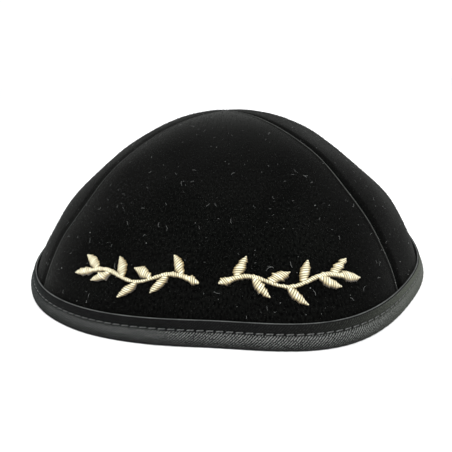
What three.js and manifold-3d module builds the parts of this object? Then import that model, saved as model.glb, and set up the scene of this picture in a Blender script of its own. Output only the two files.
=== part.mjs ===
// A velvet skullcap sewn from four panels, its rim bound with satin tape and its front embroidered.
// Millimetres, +Z up. The cap stands on its rim, the front faces -Y, and the origin is the middle
// of the rim where it meets the table.

import * as THREE from 'three';
import { mergeVertices } from 'three/addons/utils/BufferGeometryUtils.js';
import Module from 'manifold-3d';

const wasm = await Module();
wasm.setup();
const { degToRad, radToDeg, lerp } = THREE.MathUtils;

// Overall sizes
const CAP_WIDTH = 170; // left to right, over the binding
const CAP_DEPTH = 182; // front to back, over the binding
const CAP_HEIGHT = 62; // from the table to the top of the crown
const CLEARANCE = 0.3; // between pieces that touch on the real cap

// Crown: its plan is a rounded square that grows squarer towards the top, and its profile a dome
const WALL = 2.0; // velvet with its backing
const RIM_SQUARENESS = 2.55;
const TOP_SQUARENESS = 3.8;
const SHOULDER = 1.2; // a larger power keeps the lower wall steeper
const ROUNDNESS = 0.47; // a smaller power makes the top flatter

// Seams: each panel's edge rolls inwards to the stitching
const FRONT_SPAN = 90; // degrees round the cap from seam to seam
const BACK_SPAN = 90;
const SEAM_GAP = 0.3;
const SEAM_ROLL = 4.5; // width of the rolled edge
const SEAM_WALL = 1.0; // what is left of the wall's thickness at the stitching

// Binding: one tape folded over the rim, with a flap outside and a flap inside
const TAPE = 0.9;
const BAND_HEIGHT = 7; // outer flap, from the table
const INNER_FLAP = 6;
const BAND_PUFF = 0.5; // how far the tape swells out on either side of its stitching

// Embroidery: two mirrored sprigs low on the front panel
const SPRIG_RISE = 9.5; // from the binding up to the middle of the stem
const SPRIG_START = 6; // from the front's middle line to the first end of the stem
const SPRIG_LENGTH = 35;
const STEM_WIDTH = 1.6;
const STEM_WAVE = 1.4; // how far the stem swings up and down
const STEM_WAVELENGTH = 24;
const THREAD_RELIEF = 0.9; // height of the stitches over the velvet
const LEAF_LENGTH = 7.5;
const LEAF_WIDTH = 3.4;
const LEAF_SPACING = 5;
const LEAF_ANGLE = 52; // degrees between a leaf and the stem
const BUD_LENGTH = 4.2;
const BUD_WIDTH = 2.8;

// Fineness of the faces
const COLUMN_ANGLE = 7.5; // degrees of one column between the rolled edges
const CROWN_ROWS = 13; // rows from the top of the binding to the top of the crown
const STEM_STEPS = 22;
const SLOPE_STEP = 1e-4; // share of the height, or radians, over which a slope is taken
const LEAST_AREA = 1e-7; // smaller faces are left out
const MERGE_DISTANCE = 1e-3;

// The panels in their order round the cap, from the front towards the right
const FRONT = -90;
const SIDE_SPAN = ( 360 - FRONT_SPAN - BACK_SPAN ) / 2;
const PANELS = [
	{ name: 'panel_front', span: FRONT_SPAN, middle: FRONT },
	{ name: 'panel_right', span: SIDE_SPAN, middle: FRONT + ( FRONT_SPAN + SIDE_SPAN ) / 2 },
	{ name: 'panel_back', span: BACK_SPAN, middle: FRONT + 180 },
	{ name: 'panel_left', span: SIDE_SPAN, middle: FRONT + 360 - ( FRONT_SPAN + SIDE_SPAN ) / 2 },
];

// Columns of a rolled edge, and rows behind a flap of the binding, as shares of their width or height
const ROLL_COLUMNS = [ 0, 0.3 ];
const FLAP_ROWS = [ 0, 0.3, 0.65, 1 ];

// The tape's outer face from the table to its upper fold, as shares of BAND_HEIGHT and BAND_PUFF.
// It is drawn in where the stitching runs.
const BAND_ROWS = [
	{ up: 0.00, puff: 0.1 },
	{ up: 0.10, puff: 0.8 },
	{ up: 0.32, puff: 1.0 },
	{ up: 0.54, puff: 0.7 },
	{ up: 0.64, puff: 0.0 },
	{ up: 0.74, puff: 0.6 },
	{ up: 0.92, puff: 0.7 },
	{ up: 1.00, puff: 0.3 },
];

// A leaf or bud from its base to its tip, as shares of its length, its width and THREAD_RELIEF
const LEAF_ROWS = [
	{ along: 0.00, width: 0.22, relief: 0.75 },
	{ along: 0.22, width: 0.78, relief: 0.95 },
	{ along: 0.48, width: 1.00, relief: 1.00 },
	{ along: 0.78, width: 0.62, relief: 0.90 },
	{ along: 1.00, width: 0.10, relief: 0.60 },
];
const STEM_RELIEF = 0.8; // share of THREAD_RELIEF
const EDGE_RELIEF = 0.6; // share of the relief along the middle

const HALF_WIDTH = CAP_WIDTH / 2 - CLEARANCE - TAPE - BAND_PUFF;
const HALF_DEPTH = CAP_DEPTH / 2 - CLEARANCE - TAPE - BAND_PUFF;
const PANEL_FOOT = TAPE + CLEARANCE;
const SPRIG_HEIGHT = BAND_HEIGHT + SPRIG_RISE;

// A point on the velvet's outer face. The turn goes round the cap in radians, and the share up it
// runs from 0 at the table to 1 at the top.
function crownPoint( turn, share ) {

	const squareness = lerp( RIM_SQUARENESS, TOP_SQUARENESS, share );
	const across = Math.cos( turn ), along = Math.sin( turn );
	const corner = ( Math.abs( across ) ** squareness + Math.abs( along ) ** squareness ) ** ( - 1 / squareness );
	const reach = corner * ( 1 - share ** SHOULDER ) ** ROUNDNESS;
	return new THREE.Vector3( HALF_WIDTH * reach * across, HALF_DEPTH * reach * along, CAP_HEIGHT * share );

}

// The level direction from the cap's axis to the crown
function outward( turn ) {

	return new THREE.Vector3( HALF_WIDTH * Math.cos( turn ), HALF_DEPTH * Math.sin( turn ), 0 ).normalize();

}

function crownNormal( turn, share ) {

	const high = Math.min( share + SLOPE_STEP, 1 ), low = Math.max( share - SLOPE_STEP, 0 );
	const round = crownPoint( turn + SLOPE_STEP, share ).sub( crownPoint( turn - SLOPE_STEP, share ) );
	return round.cross( crownPoint( turn, high ).sub( crownPoint( turn, low ) ) ).normalize();

}

// A point at a depth under the outer face, moved in the upright plane through the cap's axis
function wallPoint( turn, share, depth ) {

	const normal = crownNormal( turn, share );
	const level = outward( turn );
	const inPlane = level.multiplyScalar( normal.dot( level ) ).setZ( normal.z );
	return crownPoint( turn, share ).addScaledVector( inPlane, - depth / inPlane.lengthSq() );

}

// A point at a height over the table and a distance out from the outer face
function ringPoint( turn, height, out ) {

	const share = height / CAP_HEIGHT;
	const level = outward( turn );
	return crownPoint( turn, share ).addScaledVector( level, out / crownNormal( turn, share ).dot( level ) );

}

// Collects flat faces and makes one closed geometry of them
class Faces {

	positions = [];

	triangle( a, b, c ) {

		const area = new THREE.Triangle( a, b, c ).getArea();
		if ( area > LEAST_AREA ) this.positions.push( ...a, ...b, ...c );

	}

	quad( a, b, c, d ) {

		this.triangle( a, b, c );
		this.triangle( a, c, d );

	}

	geometry() {

		const soup = new THREE.BufferGeometry();
		soup.setAttribute( 'position', new THREE.Float32BufferAttribute( this.positions, 3 ) );
		return mergeVertices( soup, MERGE_DISTANCE );

	}

}

// A wall between two grids of points. Seen from outside, rows run up and columns to the right.
function wallGeometry( outer, inner ) {

	const faces = new Faces();
	const top = outer.length - 1, end = outer[ 0 ].length - 1;
	for ( let i = 0; i < top; i ++ ) {

		for ( let j = 0; j < end; j ++ ) {

			faces.quad( outer[ i ][ j ], outer[ i ][ j + 1 ], outer[ i + 1 ][ j + 1 ], outer[ i + 1 ][ j ] );
			faces.quad( inner[ i ][ j + 1 ], inner[ i ][ j ], inner[ i + 1 ][ j ], inner[ i + 1 ][ j + 1 ] );

		}

		faces.quad( inner[ i ][ 0 ], outer[ i ][ 0 ], outer[ i + 1 ][ 0 ], inner[ i + 1 ][ 0 ] );
		faces.quad( outer[ i ][ end ], inner[ i ][ end ], inner[ i + 1 ][ end ], outer[ i + 1 ][ end ] );

	}

	for ( let j = 0; j < end; j ++ ) {

		faces.quad( inner[ 0 ][ j ], inner[ 0 ][ j + 1 ], outer[ 0 ][ j + 1 ], outer[ 0 ][ j ] );
		faces.quad( outer[ top ][ j ], outer[ top ][ j + 1 ], inner[ top ][ j + 1 ], inner[ top ][ j ] );

	}

	return faces.geometry();

}

// Degrees from a panel's middle to each of its columns, closer together along the rolled edges
function panelColumns( panel ) {

	const half = panel.span / 2;
	const roll = radToDeg( SEAM_ROLL / HALF_WIDTH );
	const left = ROLL_COLUMNS.map( ( share ) => share * roll - half );
	const right = left.map( ( degrees ) => - degrees ).reverse();
	const steps = Math.round( ( panel.span - 2 * roll ) / COLUMN_ANGLE );
	const between = Array.from( { length: steps + 1 }, ( _, i ) => lerp( roll - half, half - roll, i / steps ) );
	return [ ...left, ...between, ...right ];

}

// Shares of CAP_HEIGHT at a panel's rows. Above the binding they crowd together towards the flat top.
function panelRows() {

	const low = FLAP_ROWS.map( ( share ) => lerp( PANEL_FOOT, BAND_HEIGHT, share ) / CAP_HEIGHT );
	const start = Math.sqrt( 1 - BAND_HEIGHT / CAP_HEIGHT );
	const left = Array.from( { length: CROWN_ROWS - 1 }, ( _, i ) => start * ( 1 - ( i + 1 ) / CROWN_ROWS ) );
	return [ ...low, ...left.map( ( root ) => 1 - root ** 2 ) ];

}

// How deep the outer face lies at a distance from the seam, where the panel has this half width
function seamDip( distance, halfWidth ) {

	const roll = Math.min( SEAM_ROLL, halfWidth / 2 );
	const nearness = Math.max( 1 - distance / roll, 0 );
	return ( WALL - SEAM_WALL ) * roll / SEAM_ROLL * ( 1 - Math.sqrt( 1 - nearness ** 2 ) );

}

function panelGeometry( panel ) {

	const half = degToRad( panel.span / 2 );
	const middle = degToRad( panel.middle );
	const columns = panelColumns( panel ).map( degToRad );
	const outer = [], inner = [];

	for ( const share of panelRows() ) {

		const point = crownPoint( middle, share );
		const reach = Math.hypot( point.x, point.y );
		const squeeze = 1 - Math.asin( SEAM_GAP / 2 / reach ) / half;
		const turns = columns.map( ( column ) => middle + column * squeeze );
		const distances = columns.map( ( column ) => reach * Math.sin( half - Math.abs( column ) ) );
		const dips = distances.map( ( distance ) => seamDip( distance, reach * Math.sin( half ) ) );
		outer.push( turns.map( ( turn, j ) => wallPoint( turn, share, dips[ j ] ) ) );
		inner.push( turns.map( ( turn ) => wallPoint( turn, share, WALL ) ) );

	}

	// The foot is level, and the tip is where the four panels meet
	inner[ 0 ] = columns.map( ( column ) => ringPoint( middle + column, PANEL_FOOT, - WALL ) );
	const tip = outward( middle ).multiplyScalar( SEAM_GAP / 2 / Math.sin( half ) );
	outer.push( columns.map( () => tip.clone().setZ( CAP_HEIGHT ) ) );
	inner.push( columns.map( () => tip.clone().setZ( CAP_HEIGHT - WALL ) ) );
	return wallGeometry( outer, inner );

}

// The tape's section at one turn: up the outer face, down behind the outer flap, under the panel's
// foot, up behind the inner flap and down its inner face to the table
function bindingSection( turn ) {

	const inward = - WALL - CLEARANCE;
	const side = ( low, high, out ) => FLAP_ROWS.map( ( share ) => ringPoint( turn, lerp( low, high, share ), out ) );
	const outerFace = BAND_ROWS.map( ( row ) => {

		return ringPoint( turn, row.up * BAND_HEIGHT, CLEARANCE + TAPE + row.puff * BAND_PUFF );

	} );
	return [
		...outerFace,
		...side( TAPE, BAND_HEIGHT, CLEARANCE ).reverse(),
		...side( TAPE, INNER_FLAP, inward ),
		...side( 0, INNER_FLAP, inward - TAPE ).reverse(),
	];

}

function bindingGeometry() {

	const columns = ( panel ) => panelColumns( panel ).map( ( degrees ) => degToRad( panel.middle + degrees ) );
	const sections = PANELS.flatMap( ( panel ) => columns( panel ).slice( 1 ) ).map( bindingSection );
	const faces = new Faces();
	sections.forEach( ( section, j ) => {

		const next = sections[ ( j + 1 ) % sections.length ];
		section.forEach( ( point, k ) => {

			const l = ( k + 1 ) % section.length;
			faces.quad( point, next[ k ], next[ l ], section[ l ] );

		} );

	} );
	return faces.geometry();

}

// The turn that lies a distance from the front's middle line, along the wall at the sprigs' height
function turnAcross( distance ) {

	const share = SPRIG_HEIGHT / CAP_HEIGHT;
	const step = degToRad( Math.sign( distance ) );
	let turn = degToRad( FRONT ), left = Math.abs( distance );
	while ( left > 0 ) {

		const length = crownPoint( turn, share ).distanceTo( crownPoint( turn + step, share ) );
		turn += step * Math.min( left / length, 1 );
		left -= length;

	}

	return turn;

}

// A point over the front's velvet: across from its middle line, up along the wall, and its lift
function frontPoint( across, up, lift ) {

	const normal = crownNormal( degToRad( FRONT ), SPRIG_HEIGHT / CAP_HEIGHT );
	const steepness = Math.hypot( normal.x, normal.y );
	return wallPoint( turnAcross( across ), ( SPRIG_HEIGHT + up * steepness ) / CAP_HEIGHT, - lift );

}

// A raised strip of stitches. Each row gives its place, its heading, half its width and its relief.
function threadGeometry( rows ) {

	const grid = ( lift ) => rows.map( ( row ) => [ - 1, 0, 1 ].map( ( side ) => {

		const x = row.x + side * row.half * Math.sin( row.heading );
		const y = row.y - side * row.half * Math.cos( row.heading );
		return frontPoint( x, y, CLEARANCE + lift( row, side ) );

	} ) );
	return wallGeometry( grid( ( row, side ) => row.relief * ( side ? EDGE_RELIEF : 1 ) ), grid( () => 0 ) );

}

function leafGeometry( x, y, heading, length, width ) {

	return threadGeometry( LEAF_ROWS.map( ( row ) => ( {
		x: x + row.along * length * Math.cos( heading ),
		y: y + row.along * length * Math.sin( heading ),
		heading,
		half: row.width * width / 2,
		relief: row.relief * THREAD_RELIEF,
	} ) ) );

}

// The stem's place and heading at a distance along it. The side is 1 for the right sprig, -1 for the left.
function stemPoint( side, distance ) {

	const phase = 2 * Math.PI * distance / STEM_WAVELENGTH;
	const slope = STEM_WAVE * Math.cos( phase ) * 2 * Math.PI / STEM_WAVELENGTH;
	return {
		x: side * ( SPRIG_START + distance ),
		y: STEM_WAVE * Math.sin( phase ),
		heading: Math.atan2( slope, side ),
		half: STEM_WIDTH / 2,
		relief: STEM_RELIEF * THREAD_RELIEF,
	};

}

// Fuses the strips of one sprig into one body
function joined( geometries ) {

	const solids = geometries.map( ( geometry ) => new wasm.Manifold( new wasm.Mesh( {
		numProp: 3,
		vertProperties: Float32Array.from( geometry.getAttribute( 'position' ).array ),
		triVerts: Uint32Array.from( geometry.index.array ),
	} ) ) );
	const mesh = solids.reduce( ( whole, solid ) => whole.add( solid ) ).getMesh();
	const geometry = new THREE.BufferGeometry();
	geometry.setAttribute( 'position', new THREE.Float32BufferAttribute( mesh.vertProperties, 3 ) );
	geometry.setIndex( Array.from( mesh.triVerts ) );
	return geometry;

}

function sprigGeometry( side ) {

	const distances = Array.from( { length: STEM_STEPS + 1 }, ( _, i ) => SPRIG_LENGTH * i / STEM_STEPS );
	const strips = [ threadGeometry( distances.map( ( distance ) => stemPoint( side, distance ) ) ) ];

	const leaves = Math.floor( SPRIG_LENGTH / LEAF_SPACING );
	for ( let i = 0; i < leaves; i ++ ) {

		const base = stemPoint( side, LEAF_SPACING * ( i + 0.5 ) );
		const turn = side * degToRad( LEAF_ANGLE ) * ( i % 2 ? - 1 : 1 );
		strips.push( leafGeometry( base.x, base.y, base.heading + turn, LEAF_LENGTH, LEAF_WIDTH ) );

	}

	// A last leaf and a bud carry on from just inside the stem's two ends
	const end = stemPoint( side, SPRIG_LENGTH - STEM_WIDTH / 2 ), root = stemPoint( side, STEM_WIDTH / 2 );
	strips.push( leafGeometry( end.x, end.y, end.heading, LEAF_LENGTH, LEAF_WIDTH ) );
	strips.push( leafGeometry( root.x, root.y, root.heading + Math.PI, BUD_LENGTH, BUD_WIDTH ) );
	return joined( strips );

}

function mesh( name, geometry, material ) {

	const piece = new THREE.Mesh( geometry, material );
	piece.name = name;
	return piece;

}

const velvet = () => new THREE.MeshStandardMaterial( { color: 0x0c0c0d, roughness: 1, metalness: 0 } );
const satin = () => new THREE.MeshStandardMaterial( { color: 0x26282a, roughness: 0.45, metalness: 0 } );
const thread = () => new THREE.MeshStandardMaterial( { color: 0xe6d6a8, roughness: 0.5, metalness: 0 } );

const cap = new THREE.Group();
for ( const panel of PANELS ) cap.add( mesh( panel.name, panelGeometry( panel ), velvet() ) );
cap.add( mesh( 'rim_binding', bindingGeometry(), satin() ) );
cap.add( mesh( 'embroidery_left', sprigGeometry( - 1 ), thread() ) );
cap.add( mesh( 'embroidery_right', sprigGeometry( 1 ), thread() ) );

export default cap;
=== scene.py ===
"""The look of a black velvet skullcap: four velvet panels, a satin tape round the rim, its
topstitching, two sprigs in satin stitch, and the velvet's lint and longer hairs."""
import math

import bpy
import numpy as np
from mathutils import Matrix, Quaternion, Vector

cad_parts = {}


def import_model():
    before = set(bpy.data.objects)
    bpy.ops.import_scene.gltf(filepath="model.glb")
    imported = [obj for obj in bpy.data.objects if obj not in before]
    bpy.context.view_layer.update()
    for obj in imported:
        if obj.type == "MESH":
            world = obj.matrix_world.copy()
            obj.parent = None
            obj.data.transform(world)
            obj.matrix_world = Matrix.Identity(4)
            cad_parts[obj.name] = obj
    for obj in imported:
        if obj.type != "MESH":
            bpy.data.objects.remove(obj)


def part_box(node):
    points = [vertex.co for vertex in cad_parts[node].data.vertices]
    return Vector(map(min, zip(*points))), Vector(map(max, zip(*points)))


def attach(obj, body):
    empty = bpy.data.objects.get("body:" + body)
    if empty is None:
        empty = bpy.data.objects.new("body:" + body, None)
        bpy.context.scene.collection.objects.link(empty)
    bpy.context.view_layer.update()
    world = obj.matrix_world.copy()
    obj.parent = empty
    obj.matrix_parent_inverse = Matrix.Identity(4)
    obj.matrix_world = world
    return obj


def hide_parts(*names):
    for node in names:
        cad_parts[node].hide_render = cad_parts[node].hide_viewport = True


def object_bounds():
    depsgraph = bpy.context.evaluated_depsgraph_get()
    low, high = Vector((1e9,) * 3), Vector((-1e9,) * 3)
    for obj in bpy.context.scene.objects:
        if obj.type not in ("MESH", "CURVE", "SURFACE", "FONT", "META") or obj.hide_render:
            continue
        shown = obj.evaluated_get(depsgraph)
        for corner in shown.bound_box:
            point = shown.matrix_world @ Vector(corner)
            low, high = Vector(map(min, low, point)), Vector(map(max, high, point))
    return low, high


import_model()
cad_box = [list(corner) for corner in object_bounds()]
bpy.ops.object.select_all(action="DESELECT")

MM = 0.001
TINY = 1e-9
MERGE_DISTANCE = 1e-6

# The crown, as the solids have it
HALF_WIDTH = 83.3 * MM
HALF_DEPTH = 89.3 * MM
CAP_HEIGHT = cad_box[1][2]
RIM_SQUARENESS = 2.55
TOP_SQUARENESS = 3.8
SHOULDER = 1.2
ROUNDNESS = 0.47
WALL = 2.0 * MM
FRONT = math.radians(-90)
PANEL_SPAN = math.radians(90)

# How finely the crown's slopes and the distances round it are measured
SLOPE_STEP = 1e-4
LEAST_SLOPE = 1e-15
RIM_STEPS = 2881
FRONT_STEPS = 721

# Where the soft cloth leans out of an even dome: place and spread round the cap in degrees,
# middle and reach in shares of the height, and how far out it leans
SWAYS = (
    (-66, 15, 0, 0.7, 3.2 * MM),
    (-42, 12, 0, 0.7, -1.3 * MM),
    (-5, 35, 0.38, 0.36, 2.6 * MM),
)

# Slow waves of the slack cloth: waves round, waves up, phase and part of the whole
SLACK = 0.6 * MM
SLACK_WAVES = ((5, 9, -1.2, 0.5), (9, -15, 2, 0.3), (3, 22, 0, 0.2))
SLACK_START = 0.01
SLACK_RISE = 0.3
SLACK_END = 0.97
SLACK_FALL = 0.25

# Seams between the panels
SEAM_LAP = 0.12 * MM
LAP_REACH = 3 * MM
UPPER_ROLL = 1.3 * MM
LOWER_ROLL = 4.0 * MM
SEAM_DIP = 1.5 * MM
SEAM_WELT = 0.3 * MM
WELT_PLACE = 1.0 * MM
WELT_WIDTH = 0.9 * MM

# How boldly each seam shows, from the left front one round by the right
SEAM_BOLDNESS = (0.3, 1.0, 0.8, 0.7)

# The pale line along a welt: partly where the nap opens, partly a painted highlight where the rolled
# edge catches the light
NAP_PLACE = 0.8 * MM
NAP_WIDTH = 0.38 * MM
NAP_FADE = 20 * MM
NAP_LOW = 0.8
NAP_RISE = 0.6

# Binding
TAPE = 0.9 * MM
CLEARANCE = 0.3 * MM
BAND_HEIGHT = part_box("rim_binding")[1][2]
INNER_FLAP = 6 * MM
BAND_PUFF = 0.5 * MM
UPPER_PUFF = 0.3 * MM
GROOVE_HEIGHT = 0.64 * BAND_HEIGHT
GROOVE_WIDTH = 0.55 * MM
FOOT_ROUND = 0.5 * MM
FOOT_RISE = 0.4 * FOOT_ROUND
FOOT_INSET = 0.2 * FOOT_ROUND
OUTER_FACE = CLEARANCE + 0.9 * TAPE

# Stitches of the binding
STITCH_PITCH = 2.9 * MM
STITCH_LENGTH = 2.15 * MM
STITCH_RADIUS = 0.17 * MM
STITCH_PULL = 0.16 * MM
STITCH_SLANT = 0.12 * MM
STITCH_PROUD = 0.02 * MM
STITCH_DIVE = 0.22 * MM
PLY_TURNS = 7.0
PLIES = 2.0

# Embroidery
SPRIG_HEIGHT = BAND_HEIGHT + 9.5 * MM
SPRIG_START = 6 * MM
SPRIG_LENGTH = 35 * MM
STEM_WIDTH = 1.8 * MM
STEM_SWELL = 0.15
STEM_SWELLS = 6
STEM_WAVE = 1.4 * MM
STEM_WAVELENGTH = 24 * MM
RELIEF = 0.9 * MM
STEM_RELIEF = 0.62
LEAF_RELIEF = (0.55, 0.4)
LEAF_LENGTH = 7.5 * MM
LEAF_WIDTH = 3.4 * MM
LEAF_SPACING = 5 * MM
LEAF_ANGLE = math.radians(52)
LEAF_CURL = math.radians(16)
BUD_LENGTH = 4.2 * MM
BUD_WIDTH = 2.8 * MM
THREAD_PITCH = 0.72 * MM
THREAD_ROUND = 0.32 * MM
THREAD_WALL = 0.2 * MM
THREAD_LIFT = 0.1 * MM
THREAD_SLANT = 0.4
FRAY = 0.12


# Crown geometry. The turn goes round the cap, and the share runs from the table to the top.
def sway(turn, share):
    """How far the soft cloth leans out of the even dome."""
    total = 0 * turn
    for place, spread, middle, reach, amount in SWAYS:
        nearness = np.exp(2 * (np.cos(turn - math.radians(place)) - 1) / math.radians(spread) ** 2)
        total = total + amount * nearness * np.clip(1 - ((share - middle) / reach) ** 2, 0, 1) ** 2
    return total


def crown(turn, share):
    """Points on the velvet's outer face."""
    squareness = RIM_SQUARENESS + (TOP_SQUARENESS - RIM_SQUARENESS) * share
    across, along = np.cos(turn), np.sin(turn)
    corner = (np.abs(across) ** squareness + np.abs(along) ** squareness) ** (-1 / squareness)
    reach = corner * np.clip(1 - share**SHOULDER, 0, 1) ** ROUNDNESS + sway(turn, share) / HALF_WIDTH
    height = CAP_HEIGHT * share + 0 * turn
    return np.stack([HALF_WIDTH * reach * across, HALF_DEPTH * reach * along, height], -1)


def outward(turn):
    """Level directions from the axis to the crown."""
    level = np.stack([HALF_WIDTH * np.cos(turn), HALF_DEPTH * np.sin(turn), 0 * turn], -1)
    return level / np.linalg.norm(level, axis=-1, keepdims=True)


def crown_normal(turn, share):
    high, low = np.minimum(share + SLOPE_STEP, 1), np.maximum(share - SLOPE_STEP, 0)
    around = crown(turn + SLOPE_STEP, share) - crown(turn - SLOPE_STEP, share)
    normal = np.cross(around, crown(turn, high) - crown(turn, low))
    length = np.linalg.norm(normal, axis=-1, keepdims=True)
    return np.where(length > LEAST_SLOPE, normal / np.maximum(length, LEAST_SLOPE), (0.0, 0.0, 1.0))


def off_crown(turn, share, out):
    """Points at a distance out from the outer face, moved in the upright plane through the axis."""
    normal, level = crown_normal(turn, share), outward(turn)
    in_plane = level * np.sum(normal * level, -1, keepdims=True)
    in_plane[..., 2] = normal[..., 2]
    length = np.sum(in_plane**2, -1, keepdims=True)
    return crown(turn, share) + in_plane / length * np.expand_dims(out, -1)


def off_ring(turn, height, out):
    """Points at an exact height over the table and a distance out from the outer face."""
    share = height / CAP_HEIGHT
    level = outward(turn)
    slope = np.sum(crown_normal(turn, share) * level, -1, keepdims=True)
    return crown(turn, share) + level / slope * np.expand_dims(out, -1)


def slack(turn, share):
    """Slow waves of cloth that isn't drawn tight. The binding and the top hold it still."""
    rise = np.clip((share - BAND_HEIGHT / CAP_HEIGHT - SLACK_START) / SLACK_RISE, 0, 1)
    fall = np.clip((SLACK_END - share) / SLACK_FALL, 0, 1)
    hold = (rise * fall) ** 2 * (3 - 2 * rise) * (3 - 2 * fall)
    waves = 0
    for waves_round, waves_up, phase, part in SLACK_WAVES:
        waves = waves + part * np.sin(waves_round * turn + waves_up * share + phase)
    return SLACK * hold * waves


def arc_table(height, start, end, steps):
    """Turns and the distances along the crown's ring at a height, from start to end."""
    turns = np.linspace(start, end, steps)
    points = crown(turns, np.full(steps, height / CAP_HEIGHT))
    lengths = np.linalg.norm(np.diff(points, axis=0), axis=1)
    return turns, np.concatenate([[0], np.cumsum(lengths)])


RIM_TURNS, RIM_ARCS = arc_table(GROOVE_HEIGHT, FRONT - math.pi, FRONT + math.pi, RIM_STEPS)
RIM_LENGTH = RIM_ARCS[-1]
STITCHES = round(RIM_LENGTH / STITCH_PITCH)
HALF_TURNS, HALF_ARCS = arc_table(SPRIG_HEIGHT, FRONT, FRONT + math.pi / 2, FRONT_STEPS)
FRONT_NORMAL = crown_normal(np.array([FRONT]), np.array([SPRIG_HEIGHT / CAP_HEIGHT]))[0]
FRONT_STEEPNESS = math.hypot(FRONT_NORMAL[0], FRONT_NORMAL[1])


def rim_turn(arc):
    return np.interp(np.mod(arc, RIM_LENGTH), RIM_ARCS, RIM_TURNS)


def on_front(across, up, lift):
    """Points over the front's velvet: across from its middle line, up along the wall, and lifted."""
    turn = FRONT + np.sign(across) * (np.interp(np.abs(across), HALF_ARCS, HALF_TURNS) - FRONT)
    share = (SPRIG_HEIGHT + up * FRONT_STEEPNESS) / CAP_HEIGHT
    return off_crown(turn, share, lift + slack(turn, share))


# Mesh helpers
def active_piece(name):
    piece = bpy.context.object
    piece.name = piece.data.name = name
    return piece


def grid(name, columns, rows):
    """A flat grid, with its columns' places from -1 to 1 and its rows' from 0 to 1."""
    bpy.ops.mesh.primitive_grid_add(x_subdivisions=columns, y_subdivisions=rows, size=2)
    piece = active_piece(name)
    places = read_points(piece)
    return piece, places[:, 0], (places[:, 1] + 1) / 2


def read_points(piece):
    points = np.empty(len(piece.data.vertices) * 3)
    piece.data.vertices.foreach_get("co", points)
    return points.reshape(-1, 3)


def move_points(piece, points):
    piece.data.vertices.foreach_set("co", np.ascontiguousarray(points, dtype=float).ravel())
    piece.data.update()


def read_uv(piece):
    flat = np.empty(len(piece.data.loops) * 2)
    piece.data.uv_layers.active.data.foreach_get("uv", flat)
    return flat.reshape(-1, 2)


def move_uv(piece, places):
    piece.data.uv_layers.active.data.foreach_set("uv", places.ravel())


def paint(piece, name, values):
    """A number for each vertex, that a material reads by name."""
    layer = piece.data.attributes.new(name, "FLOAT", "POINT")
    layer.data.foreach_set("value", np.asarray(values, dtype=float))


def apply_modifier(piece, kind, **values):
    bpy.context.view_layer.objects.active = piece
    modifier = piece.modifiers.new(kind.title(), kind)
    for key, value in values.items():
        setattr(modifier, key, value)
    bpy.ops.object.modifier_apply(modifier=modifier.name)


def repeat(piece, count, step):
    """Copies of the piece in its own mesh, each a step along X from the last."""
    apply_modifier(
        piece, "ARRAY", count=count, use_relative_offset=False, use_constant_offset=True,
        constant_offset_displace=(step, 0, 0),
    )


def select_only(pieces):
    bpy.ops.object.select_all(action="DESELECT")
    for piece in pieces:
        piece.select_set(True)
    bpy.context.view_layer.objects.active = pieces[0]


def merge_doubles(piece):
    select_only([piece])
    bpy.ops.object.mode_set(mode="EDIT")
    bpy.ops.mesh.select_all(action="SELECT")
    bpy.ops.mesh.remove_doubles(threshold=MERGE_DISTANCE)
    bpy.ops.mesh.dissolve_degenerate(threshold=MERGE_DISTANCE)
    bpy.ops.object.mode_set(mode="OBJECT")


def smooth(piece, degrees):
    select_only([piece])
    bpy.ops.object.shade_smooth_by_angle(angle=math.radians(degrees))
    piece.select_set(False)


def join(name, pieces):
    select_only(pieces)
    bpy.ops.object.join()
    return active_piece(name)


def finish_piece(piece, slot, *nodes):
    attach(piece, "root")
    if nodes:
        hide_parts(*nodes)


# Node helpers
def node(tree, kind, **values):
    """A node with its properties, and its unlinked sockets' values, set by name."""
    made = tree.nodes.new(kind)
    for key, value in values.items():
        if hasattr(made, key):
            setattr(made, key, value)
        else:
            made.inputs[key.replace("_", " ")].default_value = value
    return made


def coordinates(tree, kind):
    return node(tree, "ShaderNodeTexCoord").outputs[kind]


def painted(tree, name):
    """The number that paint gave each vertex."""
    return node(tree, "ShaderNodeAttribute", attribute_name=name).outputs["Fac"]


def split(tree, vector):
    """The first two numbers of a vector."""
    parts = node(tree, "ShaderNodeSeparateXYZ")
    tree.links.new(vector, parts.inputs["Vector"])
    return parts.outputs["X"], parts.outputs["Y"]


def math_node(tree, operation, *values):
    """A math node. Each value is a number or the socket that gives it."""
    made = node(tree, "ShaderNodeMath", operation=operation)
    for place, value in enumerate(values):
        if isinstance(value, (int, float)):
            made.inputs[place].default_value = value
        else:
            tree.links.new(value, made.inputs[place])
    return made.outputs[0]


def times(tree, value, factor):
    return math_node(tree, "MULTIPLY", value, factor)


def times_plus(tree, value, factor, addend):
    return math_node(tree, "MULTIPLY_ADD", value, factor, addend)


def remap(tree, value, low, high, to_low=0.0, to_high=1.0):
    """The value with low to high spread over another range, and held at its ends."""
    made = node(tree, "ShaderNodeMapRange", From_Min=low, From_Max=high, To_Min=to_low, To_Max=to_high)
    tree.links.new(value, made.inputs["Value"])
    return made.outputs["Result"]


def mix_colour(tree, factor, first, second, blend="MIX"):
    made = node(tree, "ShaderNodeMix", data_type="RGBA", blend_type=blend)
    for socket, value in ((made.inputs[0], factor), (made.inputs[6], first), (made.inputs[7], second)):
        if isinstance(value, bpy.types.NodeSocket):
            tree.links.new(value, socket)
        else:
            socket.default_value = value
    return made.outputs[2]


def colour_ramp(tree, value, tones):
    """The colour at a value, from tones given as (value, colour) in rising order."""
    ramp = node(tree, "ShaderNodeValToRGB")
    elements = ramp.color_ramp.elements
    elements[0].position, elements[0].color = tones[0]
    elements[1].position, elements[1].color = tones[-1]
    for place, colour in tones[1:-1]:
        elements.new(place).color = colour
    tree.links.new(value, ramp.inputs["Fac"])
    return ramp.outputs["Color"]


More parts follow.
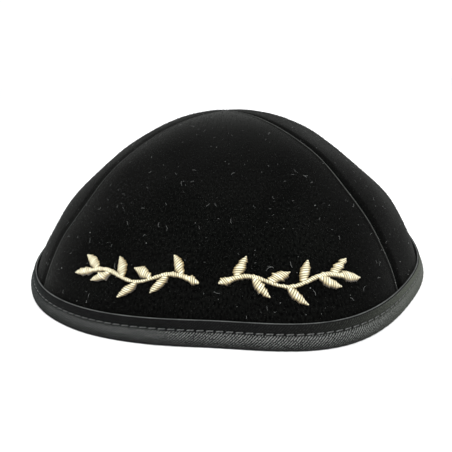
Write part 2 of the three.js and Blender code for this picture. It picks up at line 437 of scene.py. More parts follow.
def add_bump(tree, shader, height, strength, distance):
    bump = node(tree, "ShaderNodeBump", Strength=strength, Distance=distance)
    tree.links.new(height, bump.inputs["Height"])
    tree.links.new(bump.outputs["Normal"], shader.inputs["Normal"])


def new_material(name, **values):
    """A material whose Principled shader has these plain values, with its tree and its shader."""
    material = bpy.data.materials.new(name)
    material.use_nodes = True
    shader = material.node_tree.nodes["Principled BSDF"]
    for key, value in values.items():
        shader.inputs[key.replace("_", " ")].default_value = value
    return material, material.node_tree, shader


def new_group(name, inputs, output):
    """A shader node group with a vector, named numbers given as (name, value), and one output."""
    group = bpy.data.node_groups.new(name, "ShaderNodeTree")
    group.interface.new_socket("Vector", in_out="INPUT", socket_type="NodeSocketVector")
    for label, value in inputs:
        socket = group.interface.new_socket(label, in_out="INPUT", socket_type="NodeSocketFloat")
        socket.default_value = value
    group.interface.new_socket(output, in_out="OUTPUT", socket_type="NodeSocketFloat")
    return group, group.nodes.new("NodeGroupInput"), group.nodes.new("NodeGroupOutput")


def use_group(tree, group, vector, **values):
    """The one output of a node group, at the place that a vector gives."""
    made = node(tree, "ShaderNodeGroup", node_tree=group)
    tree.links.new(vector, made.inputs["Vector"])
    for key, value in values.items():
        made.inputs[key].default_value = value
    return made.outputs[0]


DUST_POWER = 3.0
DUST_EDGE = 0.06


def dust_group():
    """Fine pale specks: a mask that is 1 on a speck and 0 elsewhere. Few cells hold a large one."""
    group, entry, leave = new_group("dust", (("Scale", 600.0), ("Size", 0.12)), "Mask")
    cells = node(group, "ShaderNodeTexVoronoi")
    group.links.new(entry.outputs["Vector"], cells.inputs["Vector"])
    group.links.new(entry.outputs["Scale"], cells.inputs["Scale"])
    chance = node(group, "ShaderNodeTexWhiteNoise")
    group.links.new(cells.outputs["Position"], chance.inputs["Vector"])
    rarity = math_node(group, "POWER", chance.outputs["Value"], DUST_POWER)
    size = times(group, rarity, entry.outputs["Size"])
    near = math_node(group, "SUBTRACT", size, cells.outputs["Distance"])
    group.links.new(remap(group, near, 0.0, DUST_EDGE), leave.inputs["Mask"])
    return group


def cloud_group():
    """Soft cloudy variation, about 0.5 on average."""
    group, entry, leave = new_group("cloud", (("Scale", 40.0), ("Detail", 3.0)), "Value")
    noise = node(group, "ShaderNodeTexNoise")
    for name in ("Vector", "Scale", "Detail"):
        group.links.new(entry.outputs[name], noise.inputs[name])
    group.links.new(noise.outputs["Fac"], leave.inputs["Value"])
    return group


DUST = dust_group()
CLOUD = cloud_group()

# Colours
VELVET_BLACK = (0.0004, 0.0004, 0.0004, 1)
VELVET_WORN = (0.004, 0.0042, 0.0038, 1)
VELVET_SHEEN = (0.9, 0.92, 0.88, 1)
NAP_PALE_HIGHLIGHT = (0.09, 0.094, 0.088, 1)
HAIR_BLACK = (0.003, 0.003, 0.003, 1)
HAIR_GREY = (0.05, 0.052, 0.048, 1)
LINT_GREY = (0.055, 0.056, 0.055, 1)
LINT_PALE = (0.34, 0.35, 0.34, 1)
CLOTH_BACK = (0.012, 0.012, 0.013, 1)
CLOTH_BACK_PALE = (0.024, 0.024, 0.026, 1)
SATIN_DARK = (0.003, 0.0031, 0.0031, 1)
SATIN_PAINTED_SHEEN = (0.15, 0.155, 0.15, 1)
SATIN_PAINTED_SHEEN_LEFT = (0.024, 0.036, 0.033, 1)
SATIN_PAINTED_SHEEN_RIGHT = (0.078, 0.085, 0.07, 1)
FOLD_WEAR_AND_HIGHLIGHT = (0.13, 0.136, 0.132, 1)
THREAD_BLACK = (0.012, 0.012, 0.012, 1)
THREAD_GREY = (0.11, 0.113, 0.11, 1)
THREAD_CREAM = (0.97, 0.93, 0.68, 1)
THREAD_GOLD_TONE_AND_SHADE = (0.4, 0.3, 0.11, 1)
THREAD_BROWN_SHADE = (0.04, 0.027, 0.009, 1)

# Stretches of the tape with painted sheen: name, colour, place and spread round the cap in degrees, and
# strength above and below the stitches
PAINTED_SHEENS = (
    ("painted_sheen_left", SATIN_PAINTED_SHEEN_LEFT, -157, 20, 0.45, 0.6),
    ("painted_sheen_right", SATIN_PAINTED_SHEEN_RIGHT, -34, 20, 1.0, 0.7),
)


# Looks of the velvet
PILE_STRETCH = (1, 0.6, 1)
WORN_STRENGTH = 2.6
OPENED_LEAST = 0.25
TUFT_HEIGHT = 0.35

# Looks of the satin. A pair is a change and a base: how far a look follows its cause, and from where
TWILL_ANGLE = math.radians(52)
TWILL_POWER = 1.3
CLOUD_SHINE = (0.9, 0.55)
PAINTED_SHEEN_RAISED = (0.7, 0.5)
FOLD_GRAIN = (2.4, 0.5)
RIBBED_ROUGHNESS = (-0.35, 0.85)
GRAIN_HEIGHT = 0.5

# Looks of the embroidery thread, with painted shade towards each thread's ends, on the stroke's lower
# side and between threads
THREAD_SHADE_TONES = ((0.3, THREAD_CREAM), (0.8, THREAD_GOLD_TONE_AND_SHADE), (1.0, THREAD_BROWN_SHADE))
UNDERSIDE_SHADE = 0.3
SHADE_BETWEEN_POWER = 1.2
SHADE_BETWEEN_STRENGTH = 0.95
TONE_STRENGTH = 0.5


def velvet_material(name, sheen):
    """Short upright pile: black head on, silvery at grazing angles, pale along the welts where the nap
    opens and a painted highlight lies.
    """
    material, tree, shader = new_material(
        name, Roughness=0.95, Specular_IOR_Level=0.02, Sheen_Weight=sheen, Sheen_Roughness=0.32,
        Sheen_Tint=VELVET_SHEEN,
    )
    place = coordinates(tree, "Object")
    along = node(tree, "ShaderNodeMapping", Scale=PILE_STRETCH)
    tree.links.new(coordinates(tree, "UV"), along.inputs["Vector"])
    brushed = use_group(tree, CLOUD, place, Scale=55.0, Detail=4.0)
    tufts = use_group(tree, CLOUD, place, Scale=420.0, Detail=3.0)
    pile = use_group(tree, CLOUD, along.outputs["Vector"], Scale=2300.0, Detail=2.0)
    dust = use_group(tree, DUST, place, Scale=900.0, Size=0.11)
    worn = times(tree, brushed, times(tree, remap(tree, pile, low=0.35, high=0.75), WORN_STRENGTH))
    colour = mix_colour(tree, worn, VELVET_BLACK, VELVET_WORN)
    # Painted highlight: the welt line's base colour is paled, partly for opened nap and partly for
    # light caught on the rolled edge
    opened_and_lit = times(tree, painted(tree, "nap_edge_and_highlight"), math_node(tree, "ADD", tufts, OPENED_LEAST))
    colour = mix_colour(tree, opened_and_lit, colour, NAP_PALE_HIGHLIGHT)
    colour = mix_colour(tree, dust, colour, LINT_GREY)
    tree.links.new(colour, shader.inputs["Base Color"])
    height = times_plus(tree, tufts, TUFT_HEIGHT, pile)
    add_bump(tree, shader, height, strength=0.5, distance=0.2 * MM)
    return material


def cloth_back_material():
    """The panels' plain woven back, inside the cap."""
    material, tree, shader = new_material("cloth_back", Roughness=0.85, Specular_IOR_Level=0.25)
    place = coordinates(tree, "UV")
    weave = node(
        tree, "ShaderNodeTexBrick", Scale=900.0, Mortar_Size=0.12, Brick_Width=1.0, Row_Height=0.5,
    )
    tree.links.new(place, weave.inputs["Vector"])
    cloud = use_group(tree, CLOUD, place, Scale=60.0)
    tree.links.new(mix_colour(tree, cloud, CLOTH_BACK, CLOTH_BACK_PALE), shader.inputs["Base Color"])
    add_bump(tree, shader, weave.outputs["Fac"], strength=0.4, distance=0.1 * MM)
    return material


def satin_material():
    """Black satin tape: a fine slanted twill with painted glints, painted light and shade, stretches of
    painted sheen, and a pale fold that is partly wear and partly a painted highlight.
    """
    material, tree, shader = new_material(
        "satin_binding", Specular_IOR_Level=0.03, Sheen_Weight=0.01, Sheen_Roughness=0.4,
    )
    place = coordinates(tree, "UV")
    turned = node(tree, "ShaderNodeMapping", Rotation=(0, 0, TWILL_ANGLE))
    tree.links.new(place, turned.inputs["Vector"])
    wave = node(tree, "ShaderNodeTexWave", Scale=570.0, Distortion=0.9, Detail=2.0, Detail_Scale=2.0)
    tree.links.new(turned.outputs["Vector"], wave.inputs["Vector"])
    twill_and_painted_light = wave.outputs["Fac"]
    cloud = use_group(tree, CLOUD, place, Scale=160.0, Detail=3.0)
    grain = use_group(tree, CLOUD, place, Scale=2600.0, Detail=1.0)
    dust = use_group(tree, DUST, place, Scale=500.0, Size=0.14)
    # The twill's mask, which also holds the painted light and shade
    ribbed_and_lit = painted(tree, "twill_and_painted_light")
    lines = times(tree, twill_and_painted_light, ribbed_and_lit)
    glint = remap(tree, grain, low=0.36, high=0.64, to_low=0.1, to_high=2.1)
    # Painted sheen and glints: the pale base colour of the twill lines stands in for light the satin
    # reflects, brighter where painted light falls and darker in painted shade
    painted_sheen = times(tree, math_node(tree, "POWER", lines, TWILL_POWER), glint)
    painted_sheen = times(tree, painted_sheen, times_plus(tree, cloud, *CLOUD_SHINE))
    colour = mix_colour(tree, painted_sheen, SATIN_DARK, SATIN_PAINTED_SHEEN)
    raised = times_plus(tree, times(tree, twill_and_painted_light, glint), *PAINTED_SHEEN_RAISED)
    # Painted sheen: pale stretches at fixed places round the tape stand in for light that the satin
    # reflects
    for name, pale, *_ in PAINTED_SHEENS:
        colour = mix_colour(tree, times(tree, painted(tree, name), raised), colour, pale)
    patchy = times(tree, cloud, times_plus(tree, grain, *FOLD_GRAIN))
    # Pale line on the fold's crest: partly wear, partly a painted highlight where the fold catches the
    # light
    colour = mix_colour(tree, times(tree, painted(tree, "fold"), patchy), colour, FOLD_WEAR_AND_HIGHLIGHT)
    colour = mix_colour(tree, dust, colour, LINT_GREY)
    tree.links.new(colour, shader.inputs["Base Color"])
    tree.links.new(times_plus(tree, ribbed_and_lit, *RIBBED_ROUGHNESS), shader.inputs["Roughness"])
    height = times_plus(tree, grain, GRAIN_HEIGHT, lines)
    add_bump(tree, shader, height, strength=0.6, distance=0.12 * MM)
    return material


def sewing_thread_material():
    """Black sewing thread, whose plies turn round it as slanted stripes."""
    material, tree, shader = new_material("sewing_thread", Roughness=0.6, Specular_IOR_Level=0.3)
    around, along = split(tree, coordinates(tree, "UV"))
    slanted = times_plus(tree, along, PLY_TURNS, times(tree, around, PLIES))
    ply = math_node(tree, "ABSOLUTE", math_node(tree, "SINE", times(tree, slanted, math.pi)))
    tree.links.new(mix_colour(tree, ply, THREAD_BLACK, THREAD_GREY), shader.inputs["Base Color"])
    add_bump(tree, shader, ply, strength=0.8, distance=0.08 * MM)
    return material


def embroidery_material():
    """Cream rayon, each thread its own tone, with painted shade: golden towards its ends and on the
    stroke's lower side, and brown where it dives in and between threads."""
    material, tree, shader = new_material(
        "embroidery_thread", Roughness=0.32, Specular_IOR_Level=0.9, Anisotropic=0.5, Sheen_Weight=0.2,
    )
    across, thread = split(tree, coordinates(tree, "UV"))
    edge = math_node(tree, "ABSOLUTE", times_plus(tree, across, 2.0, -1.0))
    strand = math_node(tree, "ABSOLUTE", math_node(tree, "SINE", times(tree, thread, math.pi)))
    groove = math_node(tree, "SUBTRACT", 1.0, strand)
    tone = node(tree, "ShaderNodeTexWhiteNoise", noise_dimensions="1D")
    tree.links.new(math_node(tree, "FLOOR", thread), tone.inputs["W"])
    shade_towards_end = times_plus(tree, painted(tree, "underside"), UNDERSIDE_SHADE, edge)
    # Painted shade: golden to brown towards the thread's ends and on the stroke's lower side
    colour = colour_ramp(tree, shade_towards_end, THREAD_SHADE_TONES)
    # Painted shade: brown in the grooves between threads
    between = times(tree, math_node(tree, "POWER", groove, SHADE_BETWEEN_POWER), SHADE_BETWEEN_STRENGTH)
    colour = mix_colour(tree, between, colour, THREAD_BROWN_SHADE)
    darker = times(tree, tone.outputs["Value"], TONE_STRENGTH)
    # Each thread's own random tone, darker towards gold
    colour = mix_colour(tree, darker, colour, THREAD_GOLD_TONE_AND_SHADE, "MULTIPLY")
    tree.links.new(colour, shader.inputs["Base Color"])
    return material


def lint_material():
    """Grey lint, some of it pale."""
    material, tree, shader = new_material("lint", Roughness=0.9)
    cloud = use_group(tree, CLOUD, coordinates(tree, "Object"), Scale=90.0, Detail=2.0)
    tree.links.new(mix_colour(tree, cloud, LINT_GREY, LINT_PALE), shader.inputs["Base Color"])
    return material


def pile_material():
    """Single hairs of the pile: some black, some that catch the light."""
    material, tree, shader = new_material(
        "pile", Roughness=0.7, Specular_IOR_Level=0.1, Sheen_Weight=0.05,
    )
    chance = use_group(tree, CLOUD, coordinates(tree, "Object"), Scale=1400.0, Detail=2.0)
    colour = mix_colour(tree, remap(tree, chance, low=0.4, high=0.75), HAIR_BLACK, HAIR_GREY)
    tree.links.new(colour, shader.inputs["Base Color"])
    return material


VELVET_LENGTHWAYS = velvet_material("velvet_lengthways", 0.2)
VELVET_CROSSWAYS = velvet_material("velvet_crossways", 0.055)
PILE = pile_material()
BACK = cloth_back_material()
SATIN = satin_material()
SEWING = sewing_thread_material()
EMBROIDERY = embroidery_material()
LINT = lint_material()


# Velvet panels: node, place counted from the front, and whether its edges lie over its neighbours'
PANELS = (
    ("panel_front", 0, True),
    ("panel_right", 1, False),
    ("panel_back", 2, True),
    ("panel_left", 3, False),
)
PANEL_COLUMNS = 110
PANEL_ROWS = 90


def seam_profile(distance, reach, upper, boldness):
    """How deep the face lies at a distance from a seam. The front's and the back's edges are pressed
    over the side panels' edges: a low welt there, and a long slope on the other side."""
    full = np.where(upper, UPPER_ROLL, LOWER_ROLL)
    roll = np.minimum(full, reach * math.sin(PANEL_SPAN / 2) / 2)
    share = roll / full
    nearness = np.clip(1 - distance / np.maximum(roll, TINY), 0, 1)
    valley = 0.5 - 0.5 * np.cos(math.pi * nearness)
    pressed = 1 - np.sqrt(1 - nearness**2)
    curve = valley + (pressed - valley) * boldness * upper
    welt = SEAM_WELT * np.exp(-(((distance - WELT_PLACE) / WELT_WIDTH) ** 2))
    return share * boldness * (SEAM_DIP * curve - welt * upper)


def seam_dip(column, quarter, share):
    """Depth and distance from the nearest seam, for places at a turn from a panel's middle line,
    with their distance from the axis and the seam's boldness."""
    level = crown(FRONT + quarter * PANEL_SPAN + column, share)
    reach = np.hypot(level[..., 0], level[..., 1])
    distance = reach * np.sin(PANEL_SPAN / 2 - np.abs(column))
    boldness = np.take(SEAM_BOLDNESS, np.where(column < 0, quarter, quarter + 1) % 4)
    return seam_profile(distance, reach, quarter % 2 == 0, boldness), distance, reach, boldness


def velvet_panel(node_name, quarter, upper):
    """One panel: a grid bent over a quarter of the crown, and given its wall. Its columns lie closer
    towards the seams. Its rows start inside the tape and rise less and less towards the flat top."""
    piece, across, up = grid("velvet_" + node_name, PANEL_COLUMNS, PANEL_ROWS)
    middle = FRONT + quarter * PANEL_SPAN
    half = PANEL_SPAN / 2
    column = half * np.sin(across * math.pi / 2)
    start = (TAPE + CLEARANCE) / CAP_HEIGHT
    share = 1 - (1 - start) * (1 - up) ** 2
    dip, distance, reach, boldness = seam_dip(column, quarter, share)
    turn = middle + column * (1 + SEAM_LAP / np.maximum(reach, LAP_REACH) / half)
    points = off_crown(turn, share, slack(turn, share) - dip)
    points[up == up.max()] = (0, 0, CAP_HEIGHT)
    move_points(piece, points)
    ridge = np.exp(-(((distance - NAP_PLACE) / NAP_WIDTH) ** 2)) * np.clip(reach / NAP_FADE, 0, 1)
    # The pale welt line: opened nap and a painted highlight, stronger higher up
    paint(piece, "nap_edge_and_highlight", ridge * upper * boldness**2 * (NAP_LOW + NAP_RISE * share))
    move_uv(piece, read_uv(piece) * (HALF_WIDTH * PANEL_SPAN, HALF_WIDTH))
    thick = piece.vertex_groups.new(name="wall")
    for index, value in enumerate(1 - np.maximum(dip, 0) / WALL):
        thick.add([index], float(value), "REPLACE")
    merge_doubles(piece)
    piece.data.materials.append(VELVET_LENGTHWAYS if upper else VELVET_CROSSWAYS)
    piece.data.materials.append(BACK)
    apply_modifier(piece, "SOLIDIFY", thickness=WALL, offset=-1, vertex_group="wall", material_offset=1)
    smooth(piece, degrees=50)
    finish_piece(piece, "velvet", node_name)


# Binding: its grid, and the rows of its section
COLUMNS_A_STITCH = 4
LOWER_ROWS = 18
UPPER_ROWS = 10
CREST_ROWS = 13
HEM_ROWS = 7
PLAIN_ROWS = 5
BACK_ROWS = 4
CREST_PLACE = 5.5
CREST_SPREAD = 1.0

# The tape's fullness between its edge, its stitches and its fold
LOBE_POWER = 0.55
LOBE_FOOT = 0.06
LOBE_OVERRUN = 0.6 * MM

# Ripples round the tape: waves, phase and height as a share of the fullness
RIPPLES = ((9, 0, 0.14), (21, 1.3, 0.1))
STITCH_RIPPLE = 0.08
PULL_BETWEEN = 1.2
PULL_CHANGE = 0.8

# Where the satin's twill shows, and the painted light and shade on it: painted shade above the stitches
# and towards the foot, and painted light that changes round the cap
TWILL_START = 0.25 * MM
TWILL_FADE = 0.3 * MM
TWILL_ABOVE = 0.08
TWILL_FOOT = 0.04
TWILL_FACE = 0.92
FOOT_SHADE = 0.8
FOOT_SHADE_POWER = 1.2
SATIN_LIT = math.radians(-45)
LIT_MIDDLE = 0.35
LIT_CHANGE = 0.75
LIT_LEAST = 0.3


def lobe(share):
    return max(math.sin(math.pi * share), 0) ** LOBE_POWER


def fold_over(high, outside, inside, steps):
    """The rounded upper edge of a flap, from its outer side over to its inner side."""
    radius = (outside - inside) / 2
    angles = np.linspace(0, math.pi, steps)
    heights = high - radius + radius * np.sin(angles)
    outs = (outside + inside) / 2 + radius * np.cos(angles)
    return list(zip(heights, outs))


def tape_section():
    """The tape's closed section as rows of (height, out, puff, fold). The puff is the fullness that
    the stitching holds in, and the fold is 1 on the crest of the upper edge, which wear and a painted
    highlight pale."""
    face, back = CLEARANCE + TAPE, -WALL - CLEARANCE
    rows = []
    for height in np.linspace(FOOT_RISE, GROOVE_HEIGHT, LOWER_ROWS):
        full = lobe(LOBE_FOOT + (1 - LOBE_FOOT) * height / GROOVE_HEIGHT)
        rows.append((height, face, BAND_PUFF * full, 0))
    for height in np.linspace(GROOVE_HEIGHT, BAND_HEIGHT - TAPE / 2, UPPER_ROWS)[1:]:
        full = lobe((height - GROOVE_HEIGHT) / (BAND_HEIGHT + LOBE_OVERRUN - GROOVE_HEIGHT))
        rows.append((height, face, UPPER_PUFF * full, 0))
    top = rows[-1][2]
    for step, (height, out) in enumerate(fold_over(BAND_HEIGHT, face, CLEARANCE, CREST_ROWS)):
        crest = math.exp(-(((step - CREST_PLACE) / CREST_SPREAD) ** 2))
        rows.append((height, out, top * (1 - step / (CREST_ROWS - 1)), crest))
    rows += [(h, CLEARANCE, 0, 0) for h in np.linspace(BAND_HEIGHT - TAPE, TAPE, PLAIN_ROWS)]
    rows += [(h, back, 0, 0) for h in np.linspace(TAPE, INNER_FLAP - TAPE, BACK_ROWS)]
    rows += [(h, out, 0, 0) for h, out in fold_over(INNER_FLAP, back, back - TAPE, HEM_ROWS)]
    rows += [(h, back - TAPE, 0, 0) for h in np.linspace(INNER_FLAP - TAPE, FOOT_ROUND, PLAIN_ROWS)]
    under = np.linspace(back - TAPE + FOOT_ROUND, face - FOOT_INSET, PLAIN_ROWS)
    rows += [(0, out, 0, 0) for out in under]
    return np.array(rows)


def spread_section_uv(piece, rows):
    """UV in metres: round the rim, and along the section."""
    steps = np.linalg.norm(np.diff(np.vstack([rows, rows[:1]])[:, :2], axis=0), axis=1)
    along = np.concatenate([[0], np.cumsum(steps)])
    places = read_uv(piece)
    places[:, 1] = np.interp(places[:, 1], np.linspace(0, 1, len(along)), along)
    places[:, 0] *= RIM_LENGTH
    move_uv(piece, places)


def paint_satin(piece, turn, height, outside):
    """Where the satin's twill shows, faint above the stitches as painted shade, with painted light
    round the cap and painted shade towards the foot; and where stretches of painted sheen pale it.
    """
    below = np.clip((GROOVE_HEIGHT - height - TWILL_START) / TWILL_FADE, 0, 1)
    # Painted light and shade on the satin: darker towards the foot and above the stitches, lighter or
    # darker round the cap as the light falls
    upright = np.clip(height / (FOOT_SHADE * GROOVE_HEIGHT), 0, 1) ** FOOT_SHADE_POWER
    lit = np.maximum(LIT_MIDDLE + LIT_CHANGE * np.cos(turn - SATIN_LIT), LIT_LEAST)
    shown = TWILL_ABOVE + below * lit * (TWILL_FOOT + TWILL_FACE * upright)
    paint(piece, "twill_and_painted_light", outside * shown)
    # Stretches of painted sheen, fixed round the cap
    for name, _, place, spread, above, under in PAINTED_SHEENS:
        nearness = np.exp(-(((turn - math.radians(place)) / math.radians(spread)) ** 2))
        paint(piece, name, outside * (above + (under - above) * below) * nearness)


def rim_binding():
    """The tape: a grid rolled up into its section and laid round the rim, with its join at the back."""
    rows = tape_section()
    sides = len(rows)
    piece, across, up = grid("satin_rim_binding", STITCHES * COLUMNS_A_STITCH, sides)
    height, out, puff, fold = rows[np.round(up * sides).astype(int) % sides].T
    around = (across + 1) * math.pi
    turn = rim_turn(around / (2 * math.pi) * RIM_LENGTH)
    phase = STITCHES * around
    ripple = 1 + STITCH_RIPPLE * np.cos(phase)
    for waves, start, part in RIPPLES:
        ripple = ripple + part * np.sin(waves * around + start)
    outside = out >= OUTER_FACE
    near_groove = np.exp(-(((height - GROOVE_HEIGHT) / GROOVE_WIDTH) ** 2)) * outside
    pull = STITCH_PULL * near_groove * (PULL_BETWEEN - PULL_CHANGE * np.cos(phase) ** 2)
    move_points(piece, off_ring(turn, height, out + puff * ripple - pull))
    spread_section_uv(piece, rows)
    paint_satin(piece, turn, height, outside)
    # The fold's crest, paled by wear and a painted highlight
    paint(piece, "fold", fold)
    merge_doubles(piece)
    piece.data.materials.append(SATIN)
    smooth(piece, degrees=60)
    finish_piece(piece, "satin_binding", "rim_binding")


def topstitching():
    """A straight row of stitches, arrayed along X and then bent round the rim."""
    bpy.ops.mesh.primitive_uv_sphere_add(segments=8, ring_count=7, radius=STITCH_RADIUS)
    piece = active_piece("topstitching")
    points = read_points(piece)[:, [2, 0, 1]]
    points[:, 0] += np.sign(points[:, 0]) * (STITCH_LENGTH / 2 - STITCH_RADIUS)
    move_points(piece, points)
    pitch = RIM_LENGTH / STITCHES
    repeat(piece, STITCHES, pitch)
    points = read_points(piece)
    arc = points[:, 0] + pitch / 2
    within = np.mod(arc, pitch) / pitch * 2 - 1
    height = GROOVE_HEIGHT + points[:, 1] + STITCH_SLANT * within
    lift = CLEARANCE + TAPE + points[:, 2] + STITCH_PROUD - STITCH_DIVE * within**4
    move_points(piece, off_ring(rim_turn(arc), height, lift))
    piece.data.materials.append(SEWING)
    smooth(piece, degrees=80)
    finish_piece(piece, "satin_binding")


# Embroidery: the grid of a patch, and how its threads and its leaves are shaped
PATCH_COLUMNS = 14
ROWS_A_THREAD = 4
LEAST_THREADS = 4
STRAND_POWER = 0.7
NOTCH = 0.12
DOME_REACH = 0.985
LEAF_ENDS = (0.02, 0.985)
LEAF_BELLY = 0.85
LEAF_POINT = 0.1
LEAF_FULLNESS = 0.8

random = np.random.default_rng(7)


def stem_row(side, distance):
    """Place and heading of the stem at a distance along it, for the right (1) or left (-1) sprig."""
    phase = 2 * math.pi * distance / STEM_WAVELENGTH
    slope = STEM_WAVE * 2 * math.pi / STEM_WAVELENGTH * np.cos(phase)
    heading = np.arctan2(slope, side + 0 * distance)
    return side * (SPRIG_START + distance), STEM_WAVE * np.sin(phase), heading


def satin_patch(name, length, line, width, relief):
    """A patch of satin stitches. The line gives place and heading at shares of its length."""
    threads = max(round(length / THREAD_PITCH), LEAST_THREADS)
    piece, across, up = grid(name, PATCH_COLUMNS, threads * ROWS_A_THREAD)
    thread = np.minimum((up * threads).astype(int), threads - 1)
    fray = 1 + FRAY * random.standard_normal(threads)[thread]
    strand = np.abs(np.sin(math.pi * up * threads)) ** STRAND_POWER
    half = width(up) / 2 * fray * (1 - NOTCH * (1 - strand) * np.abs(across) ** 3)
    x, y, heading = line(np.clip(up + THREAD_SLANT * across * half / length, 0, 1))
    dome = np.sqrt(np.clip(1 - (DOME_REACH * across) ** 2, 0, 1))
    lift = THREAD_LIFT + (relief(up) + THREAD_ROUND * strand) * dome
    points = on_front(x + across * half * np.sin(heading), y - across * half * np.cos(heading), lift)
    move_points(piece, points)
    # Which side of the stroke is lower, where the thread gets painted shade
    paint(piece, "underside", across * np.cos(heading))
    move_uv(piece, read_uv(piece) * (1, threads))
    apply_modifier(piece, "SOLIDIFY", thickness=THREAD_WALL, offset=-1)
    piece.data.materials.append(EMBROIDERY)
    return piece


def stem_patch(side):
    """The waved stem, which swells and narrows a little."""

    def line(share):
        return stem_row(side, share * SPRIG_LENGTH)

    def width(share):
        return STEM_WIDTH * (1 - STEM_SWELL + STEM_SWELL * np.cos(STEM_SWELLS * share))

    return satin_patch("stem", SPRIG_LENGTH, line, width, lambda share: STEM_RELIEF * RELIEF)


def leaf_patch(x, y, heading, length, width, curl):
    """A pointed leaf that grows from a place in a heading, and curls a little on its way."""

    def line(share):
        reach = share * length
        towards = heading + curl * share / 2
        return x + reach * np.cos(towards), y + reach * np.sin(towards), heading + curl * (share - 0.5)

    def breadth(share):
        swell = np.sin(math.pi * np.clip(share, *LEAF_ENDS) ** LEAF_BELLY)
        return width * np.maximum(swell, LEAF_POINT) ** LEAF_FULLNESS

    def relief(share):
        ends, middle = LEAF_RELIEF
        return RELIEF * (ends + middle * np.sin(math.pi * share))

    return satin_patch("leaf", length, line, breadth, relief)


def sprig(name, node_name, side):
    """A stem with leaves on both sides in turn, a leaf at its end and a bud at its start."""
    patches = [stem_patch(side)]
    for index in range(int(SPRIG_LENGTH // LEAF_SPACING)):
        x, y, heading = stem_row(side, LEAF_SPACING * (index + 0.5))
        turn = side * (-1 if index % 2 else 1)
        aside = heading + turn * LEAF_ANGLE
        patches.append(leaf_patch(x, y, aside, LEAF_LENGTH, LEAF_WIDTH, -turn * LEAF_CURL))
    x, y, heading = stem_row(side, SPRIG_LENGTH - STEM_WIDTH / 2)
    patches.append(leaf_patch(x, y, heading, LEAF_LENGTH, LEAF_WIDTH, 0))
    x, y, heading = stem_row(side, STEM_WIDTH / 2)
    patches.append(leaf_patch(x, y, heading + math.pi, BUD_LENGTH, BUD_WIDTH, 0))
    piece = join(name, patches)
    smooth(piece, degrees=75)
    finish_piece(piece, "embroidery_thread", node_name)


# Lint that clings to the pile, and the pile's own longer hairs
SPECKS = 900
SPECK_LEAST = 0.04 * MM
SPECK_GROWTH = 0.12 * MM
SPECK_POWER = 4
SPECK_SHAPES = (0.6, 1.5)
SPECK_LIFT = 0.6
FIBRES = 420
FIBRE_LEAST = 0.25 * MM
FIBRE_GROWTH = 0.8 * MM
FIBRE_POWER = 2
FIBRE_BEND = 0.4
FIBRE_FLATNESS = 0.6
FIBRE_RADIUS = 0.028 * MM
FIBRE_LIFT = 0.12 * MM
HAIRS = 49000
HAIR_RADIUS = 0.038 * MM
HAIR_LENGTHS = (0.2 * MM, 0.65 * MM)
HAIR_SPREAD = 0.35
HAIR_SAG = 0.35
TRIES = 4
VELVET_REACH = (0.07, 0.995)
TOP_CROWDING = 1.7


def velvet_places(count):
    """Random places on the velvet above the binding, spread over its area."""
    turns = random.uniform(-math.pi, math.pi, TRIES * count)
    up = random.uniform(*VELVET_REACH, TRIES * count)
    shares = 1 - (1 - up) ** TOP_CROWDING
    level = crown(turns, shares)
    kept = random.random(TRIES * count) * HALF_DEPTH < np.hypot(level[:, 0], level[:, 1])
    return turns[kept][:count], shares[kept][:count]


def crown_frame(turns, shares):
    """Places on the velvet, one for each copy, with the directions round, up and out of it."""
    out = crown_normal(turns, shares)
    side = np.cross((0.0, 0.0, 1.0), out)
    side /= np.maximum(np.linalg.norm(side, axis=-1, keepdims=True), TINY)
    quarter = np.round((turns - FRONT) / PANEL_SPAN).astype(int)
    dip = seam_dip(turns - FRONT - quarter * PANEL_SPAN, quarter, shares)[0]
    place = off_crown(turns, shares, slack(turns, shares) - dip)
    return [vectors[:, None] for vectors in (place, side, np.cross(out, side), out)]


def per_copy(values):
    """One number for each copy, ready to be multiplied with the points of the copies."""
    return np.asarray(values)[:, None, None]


def scatter(piece, placed, material):
    """Repeats a small piece within its mesh. Placed gives the points of each copy."""
    repeat(piece, len(placed), 0)
    move_points(piece, placed.reshape(-1, 3))
    piece.data.materials.append(material)
    smooth(piece, degrees=80)
    finish_piece(piece, "velvet")


def lint_specks():
    """Small uneven specks, few of them large."""
    bpy.ops.mesh.primitive_ico_sphere_add(subdivisions=1, radius=1, calc_uvs=False)
    piece = active_piece("lint_specks")
    across, along, away = read_points(piece).T[:, None, :, None]
    place, side, up, out = crown_frame(*velvet_places(SPECKS))
    size = per_copy(SPECK_LEAST + SPECK_GROWTH * random.random(SPECKS) ** SPECK_POWER)
    wide, tall = random.uniform(*SPECK_SHAPES, (SPECKS, 2)).T
    placed = place + size * per_copy(wide) * across * side
    placed = placed + size * per_copy(tall) * along * up
    placed = placed + size * (away + SPECK_LIFT) * out
    scatter(piece, placed, LINT)


def lint_fibres():
    """Short bent fibres that lie on the pile, in all directions."""
    bpy.ops.mesh.primitive_grid_add(x_subdivisions=5, y_subdivisions=1, size=2, calc_uvs=False)
    piece = active_piece("lint_fibres")
    apply_modifier(piece, "SOLIDIFY", thickness=FIBRE_FLATNESS)
    along, across, away = read_points(piece).T[:, None, :, None]
    place, side, up, out = crown_frame(*velvet_places(FIBRES))
    angle = per_copy(random.uniform(0, 2 * math.pi, FIBRES))
    ahead = np.cos(angle) * side + np.sin(angle) * up
    cross = np.cross(out, ahead)
    length = per_copy(FIBRE_LEAST + FIBRE_GROWTH * random.random(FIBRES) ** FIBRE_POWER)
    bend = per_copy(random.uniform(-FIBRE_BEND, FIBRE_BEND, FIBRES))
    placed = place + length * along * ahead
    placed = placed + (length * bend * along**2 + FIBRE_RADIUS * across) * cross
    placed = placed + (FIBRE_RADIUS * away + FIBRE_LIFT) * out
    scatter(piece, placed, LINT)


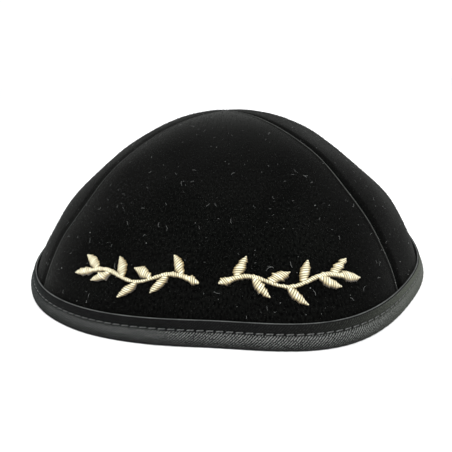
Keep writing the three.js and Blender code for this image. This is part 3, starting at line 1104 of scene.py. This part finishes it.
def pile_hairs():
    """Longer hairs of the pile, which fray the velvet's outline."""
    bpy.ops.mesh.primitive_cone_add(
        vertices=3, radius1=1, depth=1, end_fill_type="NGON", calc_uvs=False,
    )
    piece = active_piece("pile_hairs")
    across, along, away = (read_points(piece) + (0, 0, 0.5)).T[:, None, :, None]
    place, side, up, out = crown_frame(*velvet_places(HAIRS))
    swirl_side, swirl_up = random.normal(0, HAIR_SPREAD, (HAIRS, 2)).T
    lean = out + per_copy(swirl_side) * side + (per_copy(swirl_up) - HAIR_SAG) * up
    length = per_copy(random.uniform(*HAIR_LENGTHS, HAIRS))
    placed = place + HAIR_RADIUS * (across * side + along * up) + length * away * lean
    scatter(piece, placed, PILE)


for panel_node, quarter, upper in PANELS:
    velvet_panel(panel_node, quarter, upper)
rim_binding()
topstitching()
sprig("sprig_left", "embroidery_left", -1)
sprig("sprig_right", "embroidery_right", 1)
lint_specks()
lint_fibres()
pile_hairs()


# Floor, light and camera
FLOOR_SIZE = 20.0
FLOOR_WHITE = (0.93, 0.93, 0.93, 1)
WORLD_WHITE = (0.98, 0.99, 1, 1)
WORLD_STRENGTH = 1.1
CAMERA_TARGET = Vector((0, 0, 25 * MM))
CAMERA_DISTANCE = 0.1999
CAMERA_ELEVATION = math.radians(14.89)
CAMERA_TURN = math.radians(4.95)
CAMERA_ROLL = math.radians(1.74)
CAMERA_LENS = 32.13
CAMERA_SHIFT = (-0.0057, -0.0881)
CAMERA_CLIP = 0.01


def floor():
    bpy.ops.mesh.primitive_plane_add(size=FLOOR_SIZE)
    piece = active_piece("floor")
    material, *_ = new_material("pale_floor", Roughness=0.8, Base_Color=FLOOR_WHITE)
    piece.data.materials.append(material)


def area_light(name, place, size, power):
    """A square light that faces the cap's foot."""
    bpy.ops.object.light_add(type="AREA", location=place)
    light = bpy.context.object
    light.name = name
    light.data.size = size
    light.data.energy = power
    light.rotation_mode = "QUATERNION"
    light.rotation_quaternion = (-Vector(place)).to_track_quat("-Z", "Y")


def world():
    made = bpy.data.worlds.new("soft_studio")
    bpy.context.scene.world = made
    made.use_nodes = True
    background = made.node_tree.nodes["Background"]
    background.inputs["Color"].default_value = WORLD_WHITE
    background.inputs["Strength"].default_value = WORLD_STRENGTH


def camera():
    bpy.ops.object.camera_add()
    made = bpy.context.object
    level = math.cos(CAMERA_ELEVATION)
    rise = math.sin(CAMERA_ELEVATION)
    back = Vector((math.sin(CAMERA_TURN) * level, -math.cos(CAMERA_TURN) * level, rise))
    made.location = CAMERA_TARGET + back * CAMERA_DISTANCE
    made.rotation_mode = "QUATERNION"
    made.rotation_quaternion = (-back).to_track_quat("-Z", "Y") @ Quaternion((0, 0, 1), -CAMERA_ROLL)
    made.data.lens = CAMERA_LENS
    made.data.shift_x, made.data.shift_y = CAMERA_SHIFT
    made.data.clip_start = CAMERA_CLIP
    bpy.context.scene.camera = made


floor()
area_light("key", place=(0.05, -0.5, 0.8), size=0.35, power=3.5)
area_light("top", place=(0.05, 0.4, 0.85), size=0.9, power=6)
world()
camera()
bpy.context.scene.view_settings.view_transform = "Standard"
